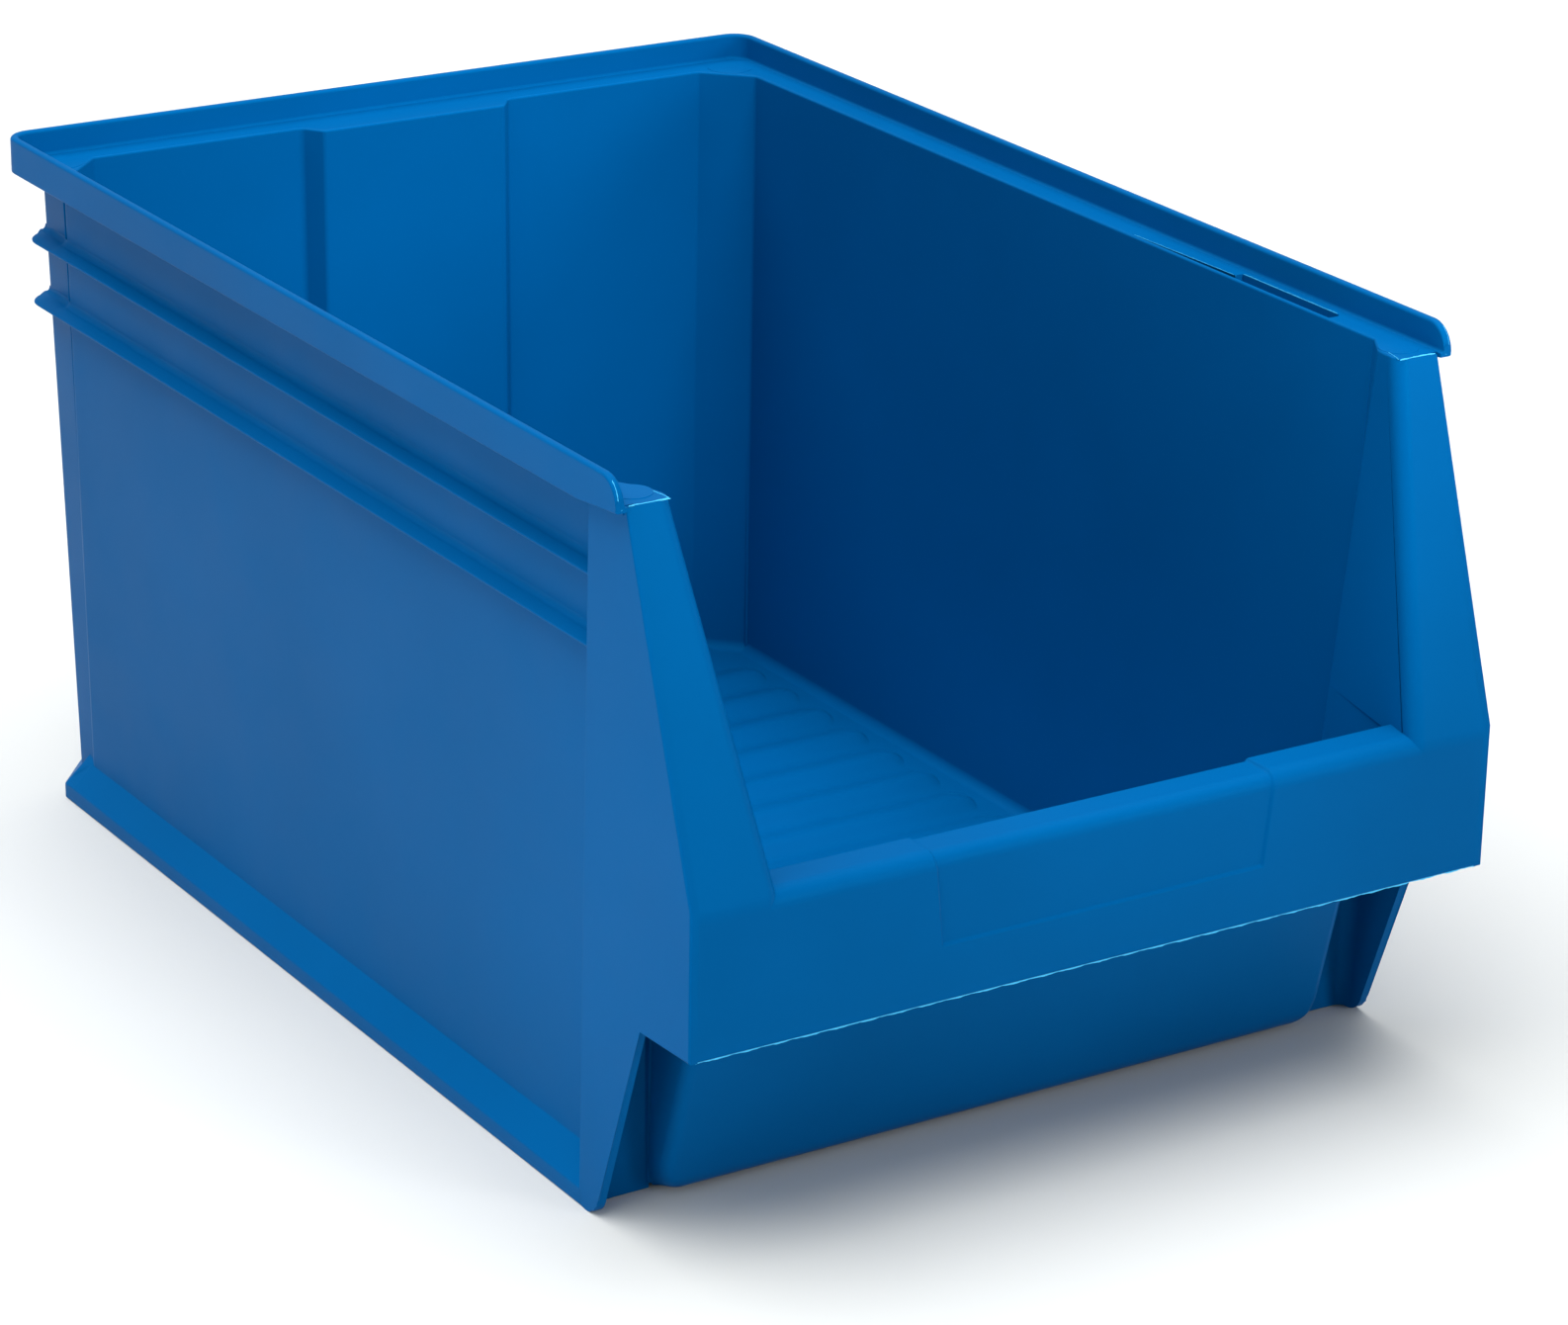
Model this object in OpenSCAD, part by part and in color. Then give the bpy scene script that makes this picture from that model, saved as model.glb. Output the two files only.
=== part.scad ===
// Open-front stackable storage bin, one moulding split into its functional regions.
// Millimetres. X is the width, Y the depth (front at -Y), Z up, floor at z = 0.

/* [Overall] */
// outside width over the rim
overall_width = 330; // [200:1:420]
// outside depth, rim at the back to front apron
overall_depth = 500; // [320:1:700]
// outside height
overall_height = 264; // [240:1:400]
// nominal moulding thickness
wall = 3.2; // [2:0.1:5]

/* [Rim] */
// height of the upstanding rim, outside
rim_height = 13.9; // [8:0.5:20]
// depth of the stacking ledge below the top of the rim
ledge_depth = 10; // [5:0.2:15]
// radius of the rim at the two back corners
rim_radius = 10; // [4:0.5:25]
// length of the detent slot in each side ledge
slot_length = 57; // [20:1:90]

/* [Body] */
// from the rim's outside to the side wall's outside, at the top
side_inset = 10.6; // [7:0.2:18]
// from the rim's outside to the back wall's outside, at the top
back_inset = 12.2; // [7:0.2:20]
// how far each side wall leans in from top to bottom
side_lean = 2.6; // [0:0.1:8]
// how far the back wall leans in from top to bottom
back_lean = 3.0; // [0:0.1:8]
// size of the 45 degree face inside each back corner
corner_chamfer = 17; // [8:0.5:30]
// half width of the raised field on the inside of the back wall
field_half = 46; // [20:1:90]
// how far that field stands into the bin
field_depth = 8; // [3:0.5:15]

/* [Stiffening] */
// how far ribs, posts and base skirt stand inside the rim's outside
rib_inset = 4.6; // [2:0.2:9]
// height of the upper rib's edge
rib_upper = 224; // [206:0.5:230]
// height of the lower rib's edge
rib_lower = 199.5; // [140:0.5:202]
// rib edge thickness
rib_edge = 2.8; // [1.5:0.1:5]
// height of the upright part of the base skirt
skirt_upright = 6.4; // [3:0.5:12]
// height at which the sloped part meets the wall
skirt_top = 16.5; // [9:0.2:30]

/* [Front] */
// top of the apron
apron_top = 132.5; // [110:0.5:170]
// bottom edge of the apron
apron_bottom = 79.5; // [60:0.5:90]
// distance from the apron's face back to the foot of the trough wall
trough_back = 57; // [45:0.5:70]
// height of the bend in the trough wall
trough_bend = 54.5; // [30:0.5:70]
// half width of the label recess
label_half = 66; // [30:1:110]
// bottom of the label recess
label_bottom = 99.5; // [92:0.5:105]
// depth of the label recess
label_depth = 1; // [0.4:0.1:1.6]

/* [Floor] */
// underside of the floor above the ground
floor_under = 3; // [1:0.5:8]
// pitch of the floor's cross waves
wave_pitch = 26; // [15:1:40]
// height of the waves
wave_height = 2.4; // [1:0.1:4]

/* [Hidden] */
$fn = 48;
W2 = overall_width / 2;
YB = overall_depth / 2;
YF = -overall_depth / 2;
HT = overall_height;
zl = HT - ledge_depth;          // ledge top
zt = zl - wall;                 // top of the walls
zf = floor_under;               // bottom of the walls
zft = zf + wall;                // floor top
xp = W2 - rib_inset;            // outside of posts, ribs and skirt
yp = YB - rib_inset;
lip_z = HT - rim_height;
post_top_y = YF + 41;           // front of the ledge
post_back = YF + 64.5;          // back edge of the post, top
post_back_b = YF + 69.5;        // and bottom
foot_y = YF + 57;               // front of the foot at its bottom
foot_top_y = YF + 31;           // front of the foot under the apron
zk = apron_top - 2.5;           // top of the trough wall, under the rolled edge
slope_z = apron_top - 1;        // where the apron turns into the sloping posts
in_top = 0.865 * W2;            // inner edge of the sloping face, top
in_bot = 0.7636 * W2;           // and at the apron
tr_bot = 0.835 * W2;            // half width of the trough, bottom
corner_bot = 0.8 * W2;          // where the inner post wall turns forwards, bottom
corner_top = 0.875 * W2;        // and top
wave_half = 0.818 * W2;         // half width of the floor's waves
trough_lean_low = 14.5;         // how far the trough wall leans forwards below its bend
trough_lean_up = 27;            // and above it
roll_z = apron_top - 6;         // where the apron meets its rolled edge
rim_front = YF + 39.5;          // front end of the rim
slot_y = YF + 91;               // front end of the detent slots
groove_angle = 2.2;             // slope of the groove behind each slot
rib_radius = 12;                // ribs' corner radius
rim_cut = YB - 14;              // where the back and side pieces of the rim meet
ledge_cut = YB - 40;            // and of the ledge
rib_cut = YB - 34;              // and of the ribs and skirt
bevel_y = YB - 26.2;            // ends of the skirt's bevel across each back corner
bevel_x = W2 - 22;
skirt_inset = 5;                // from the rim's back to the skirt's back

function mixz(a, b, z) = a + (b - a) * (z - zf) / (zt - zf);
function xo(z) = mixz(W2 - side_inset - side_lean, W2 - side_inset, z);
function xi(z) = xo(z) - wall;
function yo(z) = mixz(YB - back_inset - back_lean, YB - back_inset, z);
function yi(z) = yo(z) - wall;
// the back corner column's outside: panel edge, corner, back return
function edge_y(z) = mixz(YB - 37, YB - 30, z);
function cor_x(z) = mixz(W2 - 17, W2 - 12.1, z);
function cor_y(z) = mixz(YB - 14.4, YB - 8.2, z);
function ret_x(z) = mixz(W2 - 33, W2 - 29, z);
// inside corner
function ch_y(z) = yi(z) - corner_chamfer;
function ch_x(z) = xi(z) - corner_chamfer;
// front end of the side wall and the inner post wall (cavity side)
function d_y(z) = mixz(YF + 73.5, YF + 64.5, z);
function c_x(z) = mixz(corner_bot, corner_top, z);
function c_y(z) = mixz(YF + 70.5, YF + 54, z);
// inner end of the post wall: along the trough wall, then along the sloping face
bend_y = YF + trough_back - trough_lean_low;
function t_y(z) = z < trough_bend ? YF + trough_back - trough_lean_low * z / trough_bend
                                  : bend_y - trough_lean_up * (z - trough_bend) / (zk - trough_bend);
function s_y(z) = z > slope_z ? YF + (post_top_y - YF) * (z - slope_z) / (zl - slope_z) : YF;
function t_x(z) = tr_bot + (in_bot + wall - tr_bot) * z / apron_top;
function s_x(z) = in_bot + (in_top - in_bot) * (z - slope_z) / (zl - slope_z);

// solid between two outlines with the same number of points
module loft(pb, pt, zb, zu) {
    n = len(pb);
    pts = concat([for (p = pb) [p[0], p[1], zb]], [for (p = pt) [p[0], p[1], zu]]);
    polyhedron(points = pts, convexity = 6, faces = concat(
        [[for (i = [0:n - 1]) i]],
        [for (i = [0:n - 1]) [i, n + i, n + (i + 1) % n]],
        [for (i = [0:n - 1]) [i, n + (i + 1) % n, (i + 1) % n]],
        [[for (i = [n - 1:-1:0]) n + i]]));
}
module left() { mirror([1, 0, 0]) children(); }
module blue() { color([0.0, 0.33, 0.62]) children(); }
// extrude a (Y, Z) outline along X
module along_x(x0, x1) {
    translate([x0, 0, 0]) rotate([90, 0, 90]) linear_extrude(x1 - x0, convexity = 6) children();
}
// extrude an (X, Z) outline along Y
module along_y(y0, y1) {
    translate([0, y1, 0]) rotate([90, 0, 0]) linear_extrude(y1 - y0, convexity = 6) children();
}
function reversed(list) = [for (i = [len(list) - 1:-1:0]) list[i]];
function mirrored(list) = [for (i = [len(list) - 1:-1:0]) [-list[i][0], list[i][1]]];

// ---- outside of the box body, used to trim ribs and skirt ----
function half_body(z) = [[ret_x(z), yo(z)], [ret_x(z), cor_y(z)], [cor_x(z), cor_y(z)],
    [xo(z), edge_y(z)], [xo(z), YF + 20]];
function body_pts(z) = reversed(concat(mirrored(half_body(z)), half_body(z)));
module body() {
    loft(body_pts(zf), body_pts(zt), zf, zt);
    translate([0, 0, -5]) linear_extrude(zf + 5) polygon(body_pts(zf));
}

// ---- box ----
function side_pts(z) = [[xi(z), d_y(z)], [xo(z), d_y(z)], [xo(z), edge_y(z)], [xi(z), ch_y(z)]];
module side_wall_half() {
    loft(side_pts(zf), side_pts(zt), zf, zt);
}
module side_wall_left() { blue() left() side_wall_half(); }
module side_wall_right() { blue() side_wall_half(); }

// back wall: a flat part at each side, and a raised field between two sloped steps
field_face = field_half - 6;    // half width of the field's flat face
function wall_pts(z) = [[field_half, yi(z)], [ch_x(z), yi(z)], [ret_x(z), yo(z)],
    [field_half - wall / 2, yo(z)]];
function step_pts(z) = [[field_face, yi(z) - field_depth], [field_half, yi(z)],
    [field_half - wall / 2, yo(z)], [field_face - wall / 2, yo(z) - field_depth]];
function field_pts(z) = [[-field_face, yi(z) - field_depth], [field_face, yi(z) - field_depth],
    [field_face - wall / 2, yo(z) - field_depth], [-field_face + wall / 2, yo(z) - field_depth]];
module back_wall_left() { blue() left() loft(wall_pts(zf), wall_pts(zt), zf, zt); }
module back_wall_right() { blue() loft(wall_pts(zf), wall_pts(zt), zf, zt); }
module back_step_left() { blue() left() loft(step_pts(zf), step_pts(zt), zf, zt); }
module back_step_right() { blue() loft(step_pts(zf), step_pts(zt), zf, zt); }
module back_field() { blue() loft(field_pts(zf), field_pts(zt), zf, zt); }

// sloping face across each inside back corner, between the ends of the two walls
function web_pts(z) = [[ch_x(z), yi(z)], [xi(z), ch_y(z)], [xo(z), edge_y(z)], [ret_x(z), yo(z)]];
module web_half() { loft(web_pts(zf), web_pts(zt), zf, zt); }
module back_corner_web_left() { blue() left() web_half(); }
module back_corner_web_right() { blue() web_half(); }

// hollow column outside each back corner, its inner ends on the sloping face
end_share = 0.16;
function col_end(z, k) = [xo(z) + (ret_x(z) - xo(z)) * k, edge_y(z) + (yo(z) - edge_y(z)) * k];
function col_pts(z) = [[xo(z), edge_y(z)], [cor_x(z), cor_y(z)], [ret_x(z), cor_y(z)],
    [ret_x(z), yo(z)], col_end(z, 1 - end_share), [ret_x(z) + wall, cor_y(z) - wall],
    [cor_x(z) - wall, cor_y(z) - wall], col_end(z, end_share)];
module column_half() { loft(col_pts(zf), col_pts(zt), zf, zt); }
module back_corner_column_left() { blue() left() column_half(); }
module back_corner_column_right() { blue() column_half(); }

// inside of the box seen from above, from the field round to the front end of the side wall
function half_inside(z) = [[field_face, yi(z) - field_depth], [field_half, yi(z)], [ch_x(z), yi(z)],
    [xi(z), ch_y(z)], [xi(z), d_y(z)], [c_x(z), c_y(z)]];
function half_floor(z) = concat(half_inside(z), [[t_x(z) - wall, t_y(z) + wall]]);
module floor_panel() {
    blue() translate([0, 0, zf]) linear_extrude(wall)
        polygon(concat(half_floor(zf), mirrored(half_floor(zf))));
}
wave_front = YF + 82;
wave_back = YB - 44;
wave_ramp = 62;                 // slope of the waves' ends, from the vertical
wave_base = zft + 0.3;
module floor_waves() {
    n = floor((wave_back - wave_front) / wave_pitch);
    y0 = (wave_front + wave_back) / 2 - n * wave_pitch / 2;
    steps = 8;
    wave = [for (i = [n * steps:-1:0])
        [y0 + i * wave_pitch / steps, wave_base + wave_height * (0.5 - 0.5 * cos(i * 360 / steps))]];
    blue() difference() {
        along_x(-wave_half, wave_half) polygon(concat([[y0, zft], [y0 + n * wave_pitch, zft]], wave));
        // the waves' ends run down to the border strip
        for (s = [0, 1]) mirror([s, 0, 0])
            translate([wave_half, 0, wave_base]) rotate([0, -wave_ramp, 0])
                translate([-0.01, YF, 0]) cube([14, overall_depth, 8]);
    }
}

// ---- rim ----
module rounded(x, y0, y1, r) {
    // square at the front, rounded at the back
    hull() {
        translate([-x, y0]) square([2 * x, 1]);
        for (s = [-1, 1]) translate([s * (x - r), y1 - r]) circle(r);
    }
}
// (Y, Z) outline that rounds over the rim's front ends
module rim_side_view() {
    hull() {
        translate([rim_front, lip_z]) square([100, 1]);
        translate([rim_front + 11, HT - 8]) circle(8);
        translate([rim_front + 2, lip_z + 3]) circle(2);
        translate([YB, lip_z]) square([1, rim_height]);
    }
}
module rim_ring() {
    difference() {
        intersection() {
            translate([0, 0, lip_z]) linear_extrude(rim_height) difference() {
                rounded(W2, rim_front, YB, rim_radius);
                rounded(W2 - wall, rim_front - 10, YB - wall, rim_radius - wall);
            }
            along_x(-W2 - 1, W2 + 1) rim_side_view();
        }
        translate([0, 0, zt - 5]) linear_extrude(5) square([2 * xp, 2 * YB], center = true);
    }
}
// keep only what lies on the right in front of y, or all that lies behind it
module right_front_of(y) {
    intersection() {
        children();
        translate([1, YF, -1]) cube([W2, y - YF, HT + 2]);
    }
}
module behind(y) {
    intersection() {
        children();
        translate([-W2 - 1, y, -1]) cube([overall_width + 2, YB, HT + 2]);
    }
}
module rim_left() { blue() left() right_front_of(rim_cut) rim_ring(); }
module rim_right() { blue() right_front_of(rim_cut) rim_ring(); }
module rim_back() { blue() behind(rim_cut) rim_ring(); }

// opening of the cavity at the ledge
module mouth(z) {
    half = concat(half_inside(z), [[in_top, post_top_y + 4], [in_top, YF - 5]]);
    polygon(concat(half, mirrored(half)));
}
slot_width = 4.8;
module ledge_ring() {
    difference() {
        translate([0, 0, zt]) linear_extrude(wall) difference() {
            rounded(W2 - wall, post_top_y, YB - wall, rim_radius - wall);
            mouth(zt);
        }
        // detent slots, each with a groove behind it that tapers away
        for (s = [0, 1]) mirror([s, 0, 0]) {
            translate([xi(zt) - wall / 2, slot_y, zl - wall + 0.7])
                cube([slot_width + 0.4, slot_length, 5]);
            translate([xi(zt) - wall / 2, slot_y + slot_length, zl]) rotate([groove_angle, 0, 0])
                cube([wall, 60, 6]);
        }
    }
}
module ledge_left() { blue() left() right_front_of(ledge_cut) ledge_ring(); }
module ledge_right() { blue() right_front_of(ledge_cut) ledge_ring(); }
module ledge_back() { blue() behind(ledge_cut) ledge_ring(); }

// ---- ribs round the sides and back ----
module rib_ring(z) {
    difference() {
        union() {
            translate([0, 0, z - rib_edge]) linear_extrude(rib_edge)
                rounded(xp, post_back, yp, rib_radius);
            // steps that stand for the hollow curve up to the wall
            for (k = [1:cove_steps]) translate([0, 0, z - 0.01]) linear_extrude(k * cove_rise)
                rounded(xp - cove_in * k, post_back, yp - cove_in * (k + (k > 1 ? 1 : 0)), rib_radius - 1);
        }
        body();
        translate([-xp - 1, YF, 0]) cube([2 * xp + 2, post_back + 0.7 - YF, HT]);
    }
}
cove_steps = 4;
cove_rise = 1.1;
cove_in = 1.2;
module rib_side(z) { right_front_of(rib_cut) rib_ring(z); }
module rib_back(z) { behind(rib_cut) rib_ring(z); }
module upper_rib_left() { blue() left() rib_side(rib_upper); }
module upper_rib_right() { blue() rib_side(rib_upper); }
module upper_rib_back() { blue() rib_back(rib_upper); }
module lower_rib_left() { blue() left() rib_side(rib_lower); }
module lower_rib_right() { blue() rib_side(rib_lower); }
module lower_rib_back() { blue() rib_back(rib_lower); }

// ---- base skirt ----
wall_lap = 0.6;                 // how far the skirt's top reaches into the wall before it is trimmed
function half_skirt(e) = [[-bevel_x + e * 0.4, YB - skirt_inset - e], [-xp + e, bevel_y - e * 0.4],
    [-xp + e, post_back_b]];
function skirt_pts(e) = concat(mirrored(half_skirt(e)), half_skirt(e));
function half_skirt_top(z) = [[-W2 + 29, yo(z) - wall_lap], [-xo(z) + wall_lap, YB - 33],
    [-xo(z) + wall_lap, post_back_b]];
function skirt_wall_pts(z) = concat(mirrored(half_skirt_top(z)), half_skirt_top(z));
module skirt_ring() {
    hollow_z = skirt_upright - wall * 0.6;
    difference() {
        union() {
            linear_extrude(skirt_upright) polygon(skirt_pts(0));
            loft(skirt_pts(0), skirt_wall_pts(skirt_top), skirt_upright - 0.001, skirt_top);
        }
        // hollow from below
        translate([0, 0, -1]) linear_extrude(hollow_z + 1) polygon(skirt_pts(wall));
        loft(skirt_pts(wall), skirt_wall_pts(skirt_top), hollow_z - 0.001, skirt_top - wall * 1.1);
        body();
        translate([-xp - 1, YF, -1]) cube([2 * xp + 2, post_back_b + 1 - YF, 60]);
    }
}
module base_skirt_left() { blue() left() right_front_of(rib_cut) skirt_ring(); }
module base_skirt_right() { blue() right_front_of(rib_cut) skirt_ring(); }
module base_skirt_back() { blue() behind(rib_cut) skirt_ring(); }

// ---- front ----
// flat plate outside each post, from the foot to the ledge, with its return to the side wall
// (Y, Z) outline
toe_radius = 8;
module plate_outline() {
    toe = [for (a = [10:20:70]) [foot_y + toe_radius * (1 - sin(a)) - 0.4, toe_radius * (1 - cos(a))]];
    polygon(concat([[post_back_b, 0], [foot_y + toe_radius, 0]], toe,
        [[foot_y, toe_radius + 0.5], [foot_top_y, apron_bottom], [YF, apron_bottom], [YF, slope_z],
         [s_y(zt), zt], [post_back, zt]]));
}
function return_pts(z, y) = [[xo(z), y - wall], [xp - wall + 1, y - wall], [xp - wall + 1, y], [xo(z), y]];
module plate_half() {
    along_x(xp - wall, xp) plate_outline();
    loft(return_pts(zf, post_back_b), return_pts(zt, post_back), zf, zt);
}
module post_plate_left() { blue() left() plate_half(); }
module post_plate_right() { blue() plate_half(); }

// sloping face between the plate and the bin's open front
module face_half() {
    intersection() {
        along_x(0, xp - wall) polygon([[YF, roll_z], [YF, slope_z], [s_y(zt), zt],
            [s_y(zt) + wall, zt], [YF + wall, zk], [YF + wall, roll_z]]);
        along_y(YF - 1, YB) polygon([[in_bot, roll_z], [s_x(slope_z), slope_z], [s_x(zt), zt],
            [xp, zt], [xp, roll_z]]);
    }
}
module post_face_left() { blue() left() face_half(); }
module post_face_right() { blue() face_half(); }

// wall from the side wall's front end inwards and then forwards to the front
function inner_start(z) = [[xi(z), d_y(z)], [c_x(z), c_y(z)]];
function inner_end(z) = [[c_x(z) + wall, c_y(z) - wall], [xo(z), d_y(z) - wall], [xo(z), d_y(z)]];
function tip(x0, x1, y) = [[x0, y + wall], [x1, y + wall]];
function inner_low(z) = concat(inner_start(z), tip(t_x(z) - wall, t_x(z), t_y(z)), inner_end(z));
function inner_mid(z) = concat(inner_start(z), tip(in_bot, in_bot + wall, t_y(z)), inner_end(z));
function inner_up(z) = concat(inner_start(z), tip(s_x(z), s_x(z) + wall, s_y(z)), inner_end(z));
module inner_wall_half() {
    loft(inner_low(zf), inner_low(trough_bend), zf, trough_bend);
    loft(inner_low(trough_bend), inner_mid(zk), trough_bend, zk);
    loft(inner_up(zk), inner_up(zt), zk, zt);
}
module post_inner_wall_left() { blue() left() inner_wall_half(); }
module post_inner_wall_right() { blue() inner_wall_half(); }

// leaning lower front wall
module trough_wall() {
    blue() intersection() {
        along_x(-W2, W2) polygon([[t_y(zf), zf], [t_y(trough_bend), trough_bend], [t_y(zk), zk],
            [t_y(zk) + wall, zk], [t_y(trough_bend) + wall, trough_bend], [t_y(zf) + wall, zf]]);
        along_y(YF, 0) polygon([[-t_x(zf), zf], [t_x(zf), zf], [t_x(zk), zk], [-t_x(zk), zk]]);
    }
}

// upright apron with the label recess, open over the roll
module label_cut() {
    low = label_half - 1.6;
    high = label_half + 1;
    along_y(YF - 1, YF + label_depth)
        polygon([[-low, label_bottom], [low, label_bottom], [high, HT], [-high, HT]]);
}
module apron() {
    blue() difference() {
        along_x(-xp + wall, xp - wall) translate([YF, apron_bottom]) square([wall, roll_z - apron_bottom]);
        label_cut();
    }
}
// rolled top edge that joins the apron to the trough wall
function roll_outside(y) = [[YF, roll_z], [YF, apron_top - 3], [YF + 1, apron_top - 1.2],
    [YF + 3, apron_top], [y - 2, apron_top], [y + 1, apron_top - 0.4], [y + wall, zk]];
function roll_inside(y) = [[y, zk], [y - 2, apron_top - wall], [YF + wall + 1, apron_top - wall - 0.4],
    [YF + wall, roll_z]];
module apron_roll() {
    blue() difference() {
        along_x(-in_bot, in_bot) polygon(concat(roll_outside(t_y(zk)), roll_inside(t_y(zk))));
        label_cut();
        along_x(-label_half - 0.5, label_half + 0.5)
            translate([YF - 1, apron_top - label_depth]) square([30, 5]);
    }
}

floor_panel();
floor_waves();
side_wall_left();
side_wall_right();
back_wall_left();
back_wall_right();
back_step_left();
back_step_right();
back_field();
back_corner_web_left();
back_corner_web_right();
back_corner_column_left();
back_corner_column_right();
ledge_left();
ledge_right();
ledge_back();
rim_left();
rim_right();
rim_back();
upper_rib_left();
upper_rib_right();
upper_rib_back();
lower_rib_left();
lower_rib_right();
lower_rib_back();
base_skirt_left();
base_skirt_right();
base_skirt_back();
post_plate_left();
post_plate_right();
post_face_left();
post_face_right();
post_inner_wall_left();
post_inner_wall_right();
trough_wall();
apron();
apron_roll();
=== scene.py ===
import math

import bmesh
import bpy
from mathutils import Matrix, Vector


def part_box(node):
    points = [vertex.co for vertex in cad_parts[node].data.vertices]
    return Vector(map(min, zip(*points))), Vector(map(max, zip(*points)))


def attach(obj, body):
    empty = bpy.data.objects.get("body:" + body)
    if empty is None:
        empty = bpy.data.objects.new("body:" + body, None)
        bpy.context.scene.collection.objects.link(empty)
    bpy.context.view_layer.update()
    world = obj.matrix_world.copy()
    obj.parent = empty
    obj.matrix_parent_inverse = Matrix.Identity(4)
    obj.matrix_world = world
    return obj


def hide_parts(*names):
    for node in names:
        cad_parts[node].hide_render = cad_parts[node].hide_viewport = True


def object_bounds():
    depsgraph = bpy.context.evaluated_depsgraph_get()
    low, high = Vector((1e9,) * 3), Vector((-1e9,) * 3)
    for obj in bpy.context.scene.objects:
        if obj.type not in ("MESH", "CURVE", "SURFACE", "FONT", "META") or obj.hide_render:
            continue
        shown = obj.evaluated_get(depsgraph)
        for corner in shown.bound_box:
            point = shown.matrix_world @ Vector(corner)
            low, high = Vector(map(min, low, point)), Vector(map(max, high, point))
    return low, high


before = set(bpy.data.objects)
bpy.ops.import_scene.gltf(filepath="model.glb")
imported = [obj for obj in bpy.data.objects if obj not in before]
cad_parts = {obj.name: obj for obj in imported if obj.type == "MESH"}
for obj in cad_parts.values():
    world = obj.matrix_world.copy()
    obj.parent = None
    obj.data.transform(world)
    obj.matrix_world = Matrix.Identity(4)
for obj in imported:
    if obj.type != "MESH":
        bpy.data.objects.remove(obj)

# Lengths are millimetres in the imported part's frame, X across, -Y to the open front, Z up. Only lights are
# placed in metres.
MM = 0.001
cad_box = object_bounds()
LOW, HIGH = cad_box[0] / MM, cad_box[1] / MM


def node_box(node):
    low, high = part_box(node)
    return low / MM, high / MM


# ---- heights and planes read from the frame ----
FRONT, BACK, HALF, TOP = LOW.y, HIGH.y, HIGH.x, HIGH.z
FLOOR_UNDER = node_box("floor_panel")[0].z
FLOOR = node_box("floor_panel")[1].z
WALL = FLOOR - FLOOR_UNDER
LEDGE = node_box("ledge_back")[1].z
RIM_LOW = node_box("rim_back")[0].z
POST_X = node_box("post_plate_right")[1].x
RING_BACK = node_box("upper_rib_back")[1].y
RIB_LOWS = {"upper": node_box("upper_rib_back")[0].z, "lower": node_box("lower_rib_back")[0].z}
SKIRT_TOP = node_box("base_skirt_back")[1].z
SKIRT_BACK = node_box("base_skirt_back")[1].y
APRON_LOW = node_box("apron")[0].z
APRON_TOP = node_box("apron_roll")[1].z
FIELD_FACE = node_box("back_field")[1].x
FIELD_EDGE = node_box("back_step_right")[1].x
FIELD_DEPTH = 8
CORNER = 17                  # 45 degree face inside each back corner
SLOPE_LOW = APRON_TOP - 1    # where the apron turns into the sloping posts
JOIN = APRON_TOP - 6         # where the apron meets the rolled edge and the post faces
TROUGH_TOP = node_box("trough_wall")[1].z

# ---- radii ----
FLOOR_R = 4
MOUTH_R = 0.9
EDGE_R = 0.7
POST_EDGE_R = 5
RIM_CORNER_R = 10
RIB_CORNER_R = 12
ROLL_R = 6
RIM_END_R = 9
WEB_R = 2.5

RIM_END = FRONT + 39.5       # the rim's front end
SHARP_ANGLE = 38             # edges turning more than this many degrees stay crisp


def lean(low, high, z):
    """A value that changes evenly from the foot of the walls to their top."""
    return low + (high - low) * (z - FLOOR_UNDER) / (LEDGE - WALL - FLOOR_UNDER)


side_low, side_high = node_box("side_wall_right")
back_low, back_high = node_box("back_wall_right")


def side_x(z):
    return lean(side_low.x, side_high.x - WALL, z)


def back_y(z):
    return lean(back_low.y, back_high.y - WALL, z)


def post_back(z):
    """Back edge of the post's outer plate."""
    return lean(FRONT + 69.5, FRONT + 64.5, z)


def corner_d(z):
    """Front end of the side wall's inside."""
    return side_x(z), lean(FRONT + 73.5, FRONT + 64.5, z)


def corner_c(z):
    """Where the wall from the side turns forwards."""
    return lean(132, 144.4, z), lean(FRONT + 70.5, FRONT + 54, z)


def slope_y(z):
    """The plane of the post's sloping face."""
    top_y = FRONT + 41
    return FRONT + (top_y - FRONT) * max(z - SLOPE_LOW, 0) / (LEDGE - SLOPE_LOW)


def slope_x(z):
    """Inner edge of the sloping face."""
    return 126 + (142.7 - 126) * (z - SLOPE_LOW) / (LEDGE - SLOPE_LOW)


TROUGH_BEND = 54.5           # height where the lower front wall starts to lean out more
TROUGH_JOIN = 5              # the trough wall takes over the side from this far past the corner


def trough_y(z):
    """Outside of the leaning lower front wall."""
    low, high, top = FRONT + 57, FRONT + 42.5, FRONT + 15.5
    if z < TROUGH_BEND:
        return low + (high - low) * z / TROUGH_BEND
    return high + (top - high) * (z - TROUGH_BEND) / (TROUGH_TOP - TROUGH_BEND)


def trough_x(z):
    """Half width of the trough's outside."""
    return 137 - 4 * z / TROUGH_TOP


def column_outline(z):
    """Plan points of the hollow corner column, from the side wall round to the back wall."""
    x_out = side_x(z) + WALL
    edge_y = lean(BACK - 37, BACK - 30, z)
    corner = (lean(HALF - 17, HALF - 12.1, z), lean(BACK - 14.4, BACK - 8.2, z))
    return_x = lean(HALF - 33, HALF - 29, z)
    return [(x_out, edge_y), (x_out - 1.3, edge_y + 1.8), corner, (return_x, corner[1])]


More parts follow.
